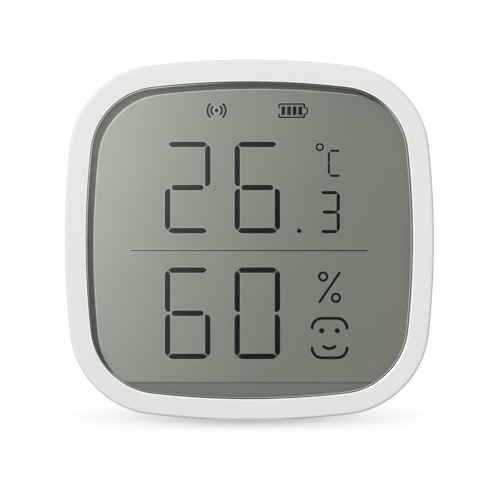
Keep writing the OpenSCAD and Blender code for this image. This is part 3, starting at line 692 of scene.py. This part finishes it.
def display_window():
    """Clear window: a raised pane in the opening, with a sawn edge and a flange behind the rim."""
    pane = RIM_W + WINDOW_GAP
    bevel = 0.15
    profile = [(pane + bevel, WINDOW_FRONT), (pane, WINDOW_FRONT + bevel), (pane, TAPE_BACK),
               (FLANGE_INSET, TAPE_BACK), (FLANGE_INSET, WINDOW_BACK)]
    bm = bmesh.new()
    rows = []
    for inset, depth in profile:
        rows.append([(x + WINDOW_SHIFT_X, y, z) for x, y, z in case_row(inset, depth)])
    faces = add_rows(bm, rows)
    per_row = len(bowed_outline(0))
    for face in faces[:(len(profile) - 1) * per_row]:
        face.material_index = 1
    faces[-1].material_index = 2
    return piece("display_window_pane", bm, [window_acrylic, sawn_acrylic, inner_acrylic],
                 stands_for=("display_window",))


def ring_between(name, outer, inner, front, back, material, node, soft_edge):
    """Flat ring round the case between two insets, with softened edges."""
    profile = [(outer, back), (outer, front + soft_edge), (outer + soft_edge, front),
               (inner - soft_edge, front), (inner, front + soft_edge), (inner, back)]
    bm = bmesh.new()
    add_rows(bm, [case_row(inset, depth) for inset, depth in profile], looped=True)
    return piece(name, bm, [material], stands_for=(node,))


front_bezel()
display_window()
ring_between("window_adhesive_ring", FLANGE_INSET, TAPE_INSET, RIM_BACK, TAPE_BACK, tape_black,
             "window_tape", 0.02)
gasket = ring_between("display_foam_gasket", FLANGE_INSET, FLANGE_INSET + GASKET_W, WINDOW_BACK, GLASS_FRONT,
                      foam_black, "display_gasket", 0.1)

# Display glass and film

OPENING = bowed_outline(RIM_W)
GLASS = bowed_outline(GLASS_INSET)
FILM_EDGE = 0.26


def above(shape, height):
    """Part of an outline above a height."""
    wide = 2 * HALF_W
    return overlap(shape, [(-wide, height), (wide, height), (wide, 4 * HALF_H), (-wide, 4 * HALF_H)])


def below(shape, height):
    """Part of an outline below a height."""
    wide = 2 * HALF_W
    return overlap(shape, [(-wide, -HALF_H), (wide, -HALF_H), (wide, height), (-wide, height)])


def front_film():
    """Front polariser, set low and to the right in the opening, with a bevelled cut edge whose pale colour is
    a painted highlight, and a dark lower edge that is painted shade.
    """
    opening_w = 2 * (HALF_W - RIM_W)
    moved = []
    for x, z in OPENING:
        low = min(max(FLARE_FROM - z, 0.0) / (FLARE_FROM - STRIP_TOP), 1.0)
        flare = math.copysign(FILM_FLARE * low ** 2, x)
        moved.append((x + FILM_SHIFT_X + FILM_WIDER * (0.5 + x / opening_w) + flare, z - FILM_SHIFT_Z))
    shape = above(overlap(moved, GLASS), STRIP_TOP)
    bm = bmesh.new()
    depth = 0.12
    front = [(x, FILM_FRONT, z) for x, z in grown(shape, -FILM_EDGE)]
    middle = [(x, FILM_FRONT + depth, z) for x, z in shape]
    back = [(x, GLASS_FRONT, z) for x, z in shape]
    faces = add_rows(bm, [front, middle, back])
    count = len(shape)
    # The cut edge's faces take the pale painted highlight, those along the lower edge the dark painted shade
    for i, face in enumerate(faces[:2 * count]):
        first = shape[i % count]
        second = shape[(i + 1) % count]
        low = max(first[1], second[1]) < STRIP_TOP + 0.001
        face.material_index = 2 if low else 1
    return piece("display_front_film", bm, [polariser_film, film_edge_painted_highlight, lower_edge_painted_shade],
                 stands_for=("lcd_front_polariser",), sharp=15.0)


def glass_sheet(name, shape, front, back, node, materials):
    """Sheet of display glass with ground edges."""
    bm = bmesh.new()
    ground = 0.08
    rows = [(grown(shape, -ground), front), (shape, front + ground), (shape, back - ground),
            (grown(shape, -ground), back)]
    add_rows(bm, [[(x, depth, z) for x, z in outline] for outline, depth in rows])
    return piece(name, bm, materials, stands_for=(node,))


def contact_ledge():
    """Etched conductor tracks on the bare ledge of the front glass, under the film's lower edge."""
    inset = 0.1
    thickness = 0.02
    soft_edge = 0.01
    bm = bmesh.new()
    shape = below(grown(GLASS, -inset), STRIP_TOP)
    add_plate(bm, shape, GLASS_FRONT - thickness, GLASS_FRONT, edge=soft_edge)
    return piece("display_contact_ledge", bm, [track_glass])


front_film()
glass_sheet("display_front_glass", GLASS, GLASS_FRONT, GLASS_BACK, "lcd_front_glass", [border_glass])
contact_ledge()
rear_front, rear_back = depth_of("lcd_rear_glass")
glass_sheet("display_rear_glass", above(GLASS, STRIP_TOP), rear_front, rear_back, "lcd_rear_glass",
            [border_glass])

# Segments and signs on the display: sizes are those at the rim, and grow a little on the deeper film

CAMERA_X = 0.1
CAMERA_Z = 27.45
CAMERA_DISTANCE = 600.0
LENS_PER_DISTANCE = 0.44304
DEEPER = 1 + (FILM_FRONT - CASE_FRONT) / CAMERA_DISTANCE
FRINGE = 0.17
FRINGE_FRONT = FILM_FRONT - 0.006
INK_FRONT = FILM_FRONT - 0.016


def on_film(point):
    """Place on the film of a point that was read at the depth of the rim."""
    return (CAMERA_X + (point[0] - CAMERA_X) * DEEPER, CAMERA_Z + (point[1] - CAMERA_Z) * DEEPER)


def digit_bars(half_w, half_h, stroke, gap, lit):
    """Outlines of a digit's lit bars, lettered a to f clockwise from the top and g in the middle.

    Where two bars meet at a corner, each is cut back along its side by the gap.
    """
    t = stroke
    top = [(-half_w + t + gap, half_h - t), (half_w - t - gap, half_h - t),
           (half_w - 0.4 * t - gap, half_h - 0.4 * t), (half_w - 1.25 * t, half_h),
           (-half_w + 1.25 * t, half_h), (-half_w + 0.4 * t + gap, half_h - 0.4 * t)]
    right = [(half_w - t, 0.25 * t), (half_w - 0.6 * t, 0.21 * t), (half_w - 0.22 * t, 0.4 * t),
             (half_w, 0.9 * t), (half_w, half_h - 1.15 * t), (half_w - 0.4 * t, half_h - 0.36 * t - gap),
             (half_w - t, half_h - t - gap)]
    end_x = half_w - 1.74 * t
    middle = arc((end_x, 0), t / 2, -90, 90, 8) + arc((-end_x, 0), t / 2, 90, 270, 8)
    signs = {"a": (top, 1, 1), "b": (right, 1, 1), "c": (right, 1, -1), "d": (top, 1, -1),
             "e": (right, -1, -1), "f": (right, -1, 1), "g": (middle, 1, 1)}
    bars = []
    for letter in lit:
        shape, flip_x, flip_z = signs[letter]
        bar = [(x * flip_x, z * flip_z) for x, z in shape]
        bars.append(bar if flip_x * flip_z > 0 else bar[::-1])
    return bars


def stroke_sides(path, half_width):
    """Left and right points, row by row, of a line drawn with a round pen along an open path."""
    points = [Vector(p) for p in path]
    ahead = [(b - a).normalized() for a, b in zip(points, points[1:])]
    ahead = [ahead[0]] + ahead + [ahead[-1]]
    cap = [math.radians(turn) for turn in (80, 60, 40, 20)]
    stations = [(points[0] - ahead[0] * half_width * math.sin(a), ahead[0], half_width * math.cos(a))
                for a in cap]
    for i, point in enumerate(points):
        along = (ahead[i] + ahead[i + 1]).normalized()
        stations.append((point, along, half_width / max(along.dot(ahead[i]), 0.5)))
    stations += [(points[-1] + ahead[-1] * half_width * math.sin(a), ahead[-1], half_width * math.cos(a))
                 for a in reversed(cap)]
    sides = []
    for point, along, reach in stations:
        across = Vector((-along.y, along.x)) * reach
        sides.append((tuple(point + across), tuple(point - across)))
    return sides


class Marks:
    """Gathers the driven shapes of one group of signs and the pale fringe of painted glow round each of them.
    """

    def __init__(self, name):
        self.name = name
        self.ink = bmesh.new()
        self.fringe = bmesh.new()
        self.layers = ((self.ink, INK_FRONT, 0.0), (self.fringe, FRINGE_FRONT, FRINGE))

    def plates(self, shape, wider):
        """Adds a driven plate and the wider plate of its fringe."""
        ink = [on_film(p) for p in shape]
        halo = [on_film(p) for p in wider]
        add_plate(self.ink, ink, INK_FRONT, FILM_FRONT, edge=0.006)
        add_plate(self.fringe, halo, FRINGE_FRONT, FILM_FRONT)

    def bar(self, shape, soft):
        """Adds a bar with rounded corners."""
        self.plates(rounded(shape, soft), rounded(grown(shape, FRINGE), soft + FRINGE))

    def line(self, path, width):
        """Adds a line of a width along an open path."""
        for target, front, grow in self.layers:
            rows = []
            for left, right in stroke_sides([on_film(p) for p in path], width / 2 + grow):
                rows.append([(left[0], front, left[1]), (right[0], front, right[1]),
                             (right[0], FILM_FRONT, right[1]), (left[0], FILM_FRONT, left[1])])
            add_rows(target, rows)

    def dot(self, centre, radius):
        """Adds a round dot."""
        self.plates(arc(centre, radius, 0, 345, 23), arc(centre, radius + FRINGE, 0, 345, 23))

    def ring(self, centre, outer, width):
        """Adds a ring of an outer radius and a width."""
        for target, front, grow in self.layers:
            inner = max(outer - width - grow, 0.02)
            loops = []
            for radius in (outer + grow, inner):
                loops.append([on_film(p) for p in arc(centre, radius, 0, 350, 35)])
            add_band(target, *loops, front, FILM_FRONT)

    def digit(self, centre, width, height, stroke, gap, lit):
        """Adds the lit bars of a digit."""
        for bar in digit_bars(width / 2, height / 2, stroke, gap, lit):
            self.bar([(x + centre[0], z + centre[1]) for x, z in bar], stroke * 0.1)

    def done(self):
        """Makes the two pieces of the group."""
        piece(self.name + "_driven", self.ink, [driven_crystal])
        piece(self.name + "_fringe", self.fringe, [painted_glow_fringe])


# Width, height, stroke and gap of the large digits and of the small one
DIGIT_SIZE = (7.44, 14.92, 0.9, 0.18)
SMALL_DIGIT_SIZE = (3.5, 6.9, 0.56, 0.16)
LEFT_X = -10.03
RIGHT_X = 1.29
UPPER_Z = 37.6
LOWER_Z = 17.17

temperature = Marks("temperature_reading")
temperature.digit((LEFT_X, UPPER_Z), *DIGIT_SIZE, "abged")
temperature.digit((RIGHT_X, UPPER_Z), *DIGIT_SIZE, "acdefg")
temperature.dot((8.09, 30.57), 0.38)
temperature.digit((12.97, 33.61), *SMALL_DIGIT_SIZE, "abgcd")
temperature.ring((11.44, 44.17), 0.7, 0.32)
UNIT_X = 12.92
UNIT_ARM_X = UNIT_X + 0.37
UNIT_STROKE = 0.39
temperature.line([(UNIT_X, 43.11), (UNIT_X, 41.82)], UNIT_STROKE)
temperature.line([(UNIT_X, 41.28), (UNIT_X, 39.98)], UNIT_STROKE)
temperature.line([(UNIT_ARM_X, 43.58), (14.5, 43.58)], UNIT_STROKE)
temperature.line([(UNIT_ARM_X, 39.52), (14.48, 39.52)], UNIT_STROKE)
temperature.done()

humidity = Marks("humidity_reading")
humidity.digit((LEFT_X, LOWER_Z), *DIGIT_SIZE, "acdefg")
humidity.digit((RIGHT_X, LOWER_Z), *DIGIT_SIZE, "abcdef")
for percent_ring in ((11.99, 23.13), (14.06, 19.68)):
    humidity.ring(percent_ring, 0.86, 0.4)
humidity.line([(11.42, 19.02), (14.65, 23.77)], 0.42)
humidity.done()

divider = Marks("row_divider")
divider.line([(-19.3, 27.34), (19.16, 27.34)], 0.2)
divider.done()

signal = Marks("signal_sign")
SIGNAL_AT = (-5.33, 50.12)
SIGNAL_SPREAD = 46
SIGNAL_STROKE = 0.36
signal.dot(SIGNAL_AT, 0.33)
for reach in (0.86, 1.5):
    for middle in (0, 180):
        signal.line(arc(SIGNAL_AT, reach, middle - SIGNAL_SPREAD, middle + SIGNAL_SPREAD, 12), SIGNAL_STROKE)
signal.done()

battery_sign = Marks("battery_sign")
BATTERY_TOP = 51.17
BATTERY_LOW = 48.99
BATTERY_LEFT = 4.8
BATTERY_RIGHT = 8.94
BATTERY_CUT = 0.1
battery_path = [
    (BATTERY_LEFT, 50.5), (BATTERY_LEFT, BATTERY_TOP - BATTERY_CUT),
    (BATTERY_LEFT + BATTERY_CUT, BATTERY_TOP), (BATTERY_RIGHT - BATTERY_CUT, BATTERY_TOP),
    (BATTERY_RIGHT, BATTERY_TOP - BATTERY_CUT), (BATTERY_RIGHT, 50.61),
    (9.3, 50.5), (9.41, 50.38), (9.41, 49.73), (9.3, 49.6),
    (BATTERY_RIGHT, 49.49), (BATTERY_RIGHT, BATTERY_LOW + BATTERY_CUT),
    (BATTERY_RIGHT - BATTERY_CUT, BATTERY_LOW), (BATTERY_LEFT + BATTERY_CUT, BATTERY_LOW),
    (BATTERY_LEFT, BATTERY_LOW + BATTERY_CUT), (BATTERY_LEFT, 49.6)]
battery_sign.line(battery_path, 0.26)
CHARGE_LOW = 49.39
CHARGE_TOP = 50.77
CHARGE_HALF = 0.31
for i in range(4):
    middle_x = 5.52 + 0.915 * i
    left = middle_x - CHARGE_HALF
    right = middle_x + CHARGE_HALF
    battery_sign.bar([(left, CHARGE_LOW), (right, CHARGE_LOW), (right, CHARGE_TOP), (left, CHARGE_TOP)], 0.04)
battery_sign.done()

comfort = Marks("comfort_sign")
FACE_LEFT = 10.19
FACE_RIGHT = 15.87
FACE_R = 1.6
FACE_STROKE = 0.5
for top, turn in ((16.35, 1), (9.93, -1)):
    centre_z = top - FACE_R * turn
    path = arc((FACE_LEFT + FACE_R, centre_z), FACE_R, 180, 180 - 90 * turn, 10)
    path += arc((FACE_RIGHT - FACE_R, centre_z), FACE_R, 90 * turn, 0, 10)
    comfort.line(path, FACE_STROKE)
for eye_x in (11.75, 14.27):
    comfort.dot((eye_x, 14.32), 0.45)
comfort.line(arc((12.99, 12.88), 1.45, 229, 311, 12), FACE_STROKE)
comfort.done()


# Back of the case

dressed("rear_housing", "case_rear_housing", white_abs, edge=0.12)
dressed("battery_door", "battery_door_panel", white_abs, "door", edge=0.15)
dressed("vent_membranes", "vent_mesh_screens", vent_mesh)


def pairing_button():
    """Button in the back: a dished cap, a collar that keeps it in and a stem to the switch."""
    low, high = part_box("pairing_button")
    centre = (low + high) / (2 * MM)
    length = (high.y - low.y) / MM
    collar_r = (high.x - low.x) / (2 * MM)
    cap_r = 2.9
    cap_round = 0.25
    stem_r = 1.5
    stem_round = 0.2
    collar_from = length - 2.75
    collar_to = length - 1.75
    collar_round = 0.1
    dish = 0.22
    profile = [(0, 0), (stem_r - stem_round, 0), (stem_r, stem_round), (stem_r, collar_from),
               (collar_r - collar_round, collar_from), (collar_r, collar_from + collar_round),
               (collar_r, collar_to - collar_round), (collar_r - collar_round, collar_to), (cap_r, collar_to)]
    profile += arc((cap_r - cap_round, length - cap_round), cap_round, 0, 90, 5)
    profile += [(cap_r * 0.8, length - dish * 0.25), (cap_r * 0.5, length - dish * 0.75),
                (cap_r * 0.25, length - dish * 0.94), (0, length - dish)]
    bm = bmesh.new()
    add_turned(bm, profile, (centre.x, low.y / MM, centre.z), (0, 1, 0), 64)
    return piece("pairing_button_cap", bm, [white_abs], "button", ("pairing_button",))


pairing_button()

# Battery tray


def dry_cell(node, name):
    """Cell: a plated steel can in a printed sleeve that is folded over both ends, with a pip at one end."""
    low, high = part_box(node)
    radius = (high.z - low.z) / (2 * MM)
    length = (high.x - low.x) / MM
    shoulder = length - 1.0
    band_from = length * 0.72
    pip_right = node == "battery_upper"
    start = low.x / MM if pip_right else high.x / MM
    origin = (start, (low.y + high.y) / (2 * MM), (low.z + high.z) / (2 * MM))
    axis = (1, 0, 0) if pip_right else (-1, 0, 0)
    base = [(0, 0.14), (3.1, 0.14), (3.4, 0.0), (4.5, 0.0), (4.6, 0.08)]
    sleeve = [(4.6, 0.08), (4.75, 0.02), (radius - 0.25, 0.1), (radius - 0.06, 0.25), (radius, 0.5),
              (radius, band_from)]
    band = [(radius, band_from), (radius, shoulder - 0.5), (radius - 0.06, shoulder - 0.25),
            (radius - 0.25, shoulder - 0.08), (4.65, shoulder), (4.5, shoulder - 0.08)]
    crown = [(4.5, shoulder - 0.08), (4.3, shoulder - 0.3), (2.4, shoulder - 0.3), (2.05, shoulder - 0.15),
             (1.9, shoulder), (1.9, length - 0.25), (1.82, length - 0.08), (1.65, length), (0, length)]
    bm = bmesh.new()
    for profile, material in ((base, 0), (sleeve, 1), (band, 2), (crown, 0)):
        add_turned(bm, profile, origin, axis, 64, material)
    bmesh.ops.remove_doubles(bm, verts=bm.verts, dist=0.0005)
    return piece(name, bm, [cell_steel, cell_sleeve, cell_band], stands_for=(node,))


dry_cell("battery_upper", "dry_cell_upper")
dry_cell("battery_lower", "dry_cell_lower")


def contact_springs():
    """Two conical springs of plated wire, each from its plate to the flat end of a cell."""
    wire_r = 0.225
    turns = 2.5
    run = 1.8
    base_r = 3.0
    tip_r = 1.0
    start_x = 24.325
    bm = bmesh.new()
    for node, side in (("battery_upper", -1), ("battery_lower", 1)):
        low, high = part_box(node)
        middle_y = (low.y + high.y) / (2 * MM)
        middle_z = (low.z + high.z) / (2 * MM)
        path = []
        steps = int(turns * 36)
        for i in range(steps + 1):
            share = i / steps
            turn = 2 * math.pi * turns * share
            radius = base_r + (tip_r - base_r) * share
            path.append((side * (start_x - run * share), middle_y - side * radius * math.cos(turn),
                         middle_z + radius * math.sin(turn)))
        add_tube(bm, path, wire_r, 12)
    return piece("cell_contact_springs", bm, [plated_steel], stands_for=("contact_springs",))


contact_springs()
for contact in ("series_bridge", "positive_contact", "negative_contact"):
    dressed(contact, "cell_" + contact, plated_steel, edge=0.08)


def soft_block(node, name, material, body, corner, soft_edge):
    """Die-cut block of soft sheet in the place of a CAD node, with round corners and soft edges all round."""
    low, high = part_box(node)
    low = low / MM
    high = high / MM
    shape = [(low.x, low.z), (high.x, low.z), (high.x, high.z), (low.x, high.z)]
    outer = rounded(shape, corner, 5)
    inner = rounded(grown(shape, -soft_edge), corner, 5)
    rows = [(inner, low.y), (outer, low.y + soft_edge), (outer, high.y - soft_edge), (inner, high.y)]
    bm = bmesh.new()
    add_rows(bm, [[(x, depth, z) for x, z in outline] for outline, depth in rows])
    return piece(name, bm, [material], body, (node,))


cell_pad = soft_block("cell_pad", "door_foam_pad", foam_black, "door", 1.5, 0.12)
soft_block("zebra_strip", "display_zebra_connector", zebra_rubber, "case", 0.2, 0.1)

# Inside of the case

for node, name, material, slot, edge in (
        ("lcd_rear_reflector", "display_reflector", reflector_silver, "reflector_film", 0.0),
        ("lcd_carrier", "display_carrier_frame", carrier_white, "carrier_plastic", 0.1),
        ("main_board", "circuit_board", board_green, "circuit_board", 0.0),
        ("board_screws", "circuit_board_screws", plated_steel, "plated_steel", 0.0),
        ("radio_module", "radio_daughter_board", module_green, "circuit_board", 0.0),
        ("radio_shield", "radio_shield_can", tinned_steel, "plated_steel", 0.08),
        ("display_driver_chip", "display_driver_package", chip_epoxy, "chip_epoxy", 0.1),
        ("sensor_chip", "climate_sensor_package", chip_epoxy, "chip_epoxy", 0.08),
        ("crystal", "clock_crystal_can", tinned_steel, "plated_steel", 0.15),
        ("capacitors", "smoothing_capacitors", capacitor_tan, "capacitor_ceramic", 0.06),
        ("tact_switch", "pairing_switch_housing", nylon_grey, "chip_epoxy", 0.1)):
    dressed(node, name, material, edge=edge)
dressed("tact_plunger", "pairing_switch_plunger", acetal_cream, "button", edge=0.12)

# Studio: a white sweep that shows only the contact shadow, a key lamp, a lamp behind and an even fill

FILL_STRENGTH = 0.42
SHADOW_REACH = 45.0
SHADOW_HALF_WIDTH = 17.4
SHADOW_DEPTH = 1.35
MOST_HIDDEN = 0.385


def seen_directly(tree):
    """One for rays that show the surface itself, in the picture, in gloss or through glass."""
    path = add_node(tree, "ShaderNodeLightPath")
    first = add_node(tree, "ShaderNodeMath", operation="MAXIMUM",
                     links={0: path.outputs["Is Camera Ray"], 1: path.outputs["Is Glossy Ray"]})
    either = add_node(tree, "ShaderNodeMath", operation="MAXIMUM",
                      links={0: first.outputs["Value"], 1: path.outputs["Is Transmission Ray"]})
    return either.outputs["Value"]


def floor():
    """White paper sweep: shadowless but for the dark under the middle of the curved foot: ambient occlusion,
    capped and narrowed by a painted fall-off across the floor.
    """
    made, tree, output, place = new_material("paper_sweep_matt")
    paper = add_node(tree, "ShaderNodeBsdfDiffuse", {"Color": colour("#B5B5B5")})
    contact = add_node(tree, "ShaderNodeAmbientOcclusion", {"Distance": SHADOW_REACH * MM}, samples=16)
    # Painted fall-off that narrows the shadow to the middle of the foot
    sideways = add_node(tree, "ShaderNodeSeparateXYZ", links={"Vector": place}).outputs["X"]
    share = add_node(tree, "ShaderNodeMath", {1: per_metre(SHADOW_HALF_WIDTH)}, {0: sideways},
                     operation="MULTIPLY")
    square = add_node(tree, "ShaderNodeMath", {1: 2.0}, {0: share.outputs["Value"]}, operation="POWER")
    fall = add_node(tree, "ShaderNodeMath", {0: math.exp(-1)}, {1: square.outputs["Value"]},
                    operation="POWER")
    hidden = add_node(tree, "ShaderNodeMath", {0: 1.0}, {1: contact.outputs["AO"]}, operation="SUBTRACT")
    lifted = add_node(tree, "ShaderNodeMath", {1: MOST_HIDDEN}, {0: hidden.outputs["Value"]},
                      operation="MINIMUM")
    dark = add_node(tree, "ShaderNodeMath", links={0: lifted.outputs["Value"], 1: fall.outputs["Value"]},
                    operation="MULTIPLY")
    white = add_node(tree, "ShaderNodeMapRange", {"From Max": 1 / SHADOW_DEPTH, "To Min": 1.0, "To Max": 0.0},
                     {"Value": dark.outputs["Value"]})
    shown = add_node(tree, "ShaderNodeEmission", {"Color": colour("#FFFFFF")},
                     {"Strength": white.outputs["Result"]})
    mixed = add_node(tree, "ShaderNodeMixShader",
                     links={0: seen_directly(tree), 1: paper.outputs["BSDF"], 2: shown.outputs["Emission"]})
    tree.links.new(mixed.outputs["Shader"], output.inputs["Surface"])
    reach = 8.0
    mesh = bpy.data.meshes.new("studio_floor")
    mesh.from_pydata([(-reach, -reach, 0), (reach, -reach, 0), (reach, reach, 0), (-reach, reach, 0)], [],
                     [(0, 1, 2, 3)])
    mesh.materials.append(made)
    ground = bpy.data.objects.new("studio_floor", mesh)
    bpy.context.scene.collection.objects.link(ground)


def add_lamp(name, direction, strength, softness):
    """Round lamp in a direction seen from the case, whose strength there and width in degrees are given."""
    away = 1.5
    lamp = bpy.data.lights.new(name, "AREA")
    lamp.shape = "DISK"
    lamp.size = 2 * away * math.tan(math.radians(softness / 2))
    lamp.energy = strength * math.pi * away ** 2
    placed = bpy.data.objects.new(name, lamp)
    placed.location = Vector((0, 0, MID_Z * MM)) + Vector(direction).normalized() * away
    placed.rotation_euler = Vector(direction).to_track_quat("Z", "Y").to_euler()
    bpy.context.scene.collection.objects.link(placed)


def studio():
    """World, lamps and the camera, square to the front at the photograph's height."""
    scene = bpy.context.scene
    world = bpy.data.worlds.new("studio")
    scene.world = world
    world.use_nodes = True
    tree = world.node_tree
    tree.nodes.clear()
    strength = add_node(tree, "ShaderNodeMapRange", {"To Min": FILL_STRENGTH, "To Max": 1.0},
                        {"Value": seen_directly(tree)})
    sky = add_node(tree, "ShaderNodeBackground", {"Color": colour("#FFFFFF")},
                   {"Strength": strength.outputs["Result"]})
    output = add_node(tree, "ShaderNodeOutputWorld", links={"Surface": sky.outputs["Background"]})
    output.is_active_output = True
    add_lamp("key_lamp", (-0.45, -1.0, 0.42), 2.175, 5.0)
    add_lamp("back_lamp", (0.3, 1.0, 0.35), 1.6, 25.0)
    camera_data = bpy.data.cameras.new("camera")
    camera_data.sensor_width = 36.0
    camera_data.lens = LENS_PER_DISTANCE * CAMERA_DISTANCE
    camera_data.clip_start = 0.01
    camera_data.clip_end = 100.0
    camera = bpy.data.objects.new("camera", camera_data)
    camera.location = (CAMERA_X * MM, (CASE_FRONT - CAMERA_DISTANCE) * MM, CAMERA_Z * MM)
    camera.rotation_euler = (math.radians(90), 0, 0)
    scene.collection.objects.link(camera)
    scene.camera = camera
    scene.view_settings.view_transform = "Standard"


floor()
studio()
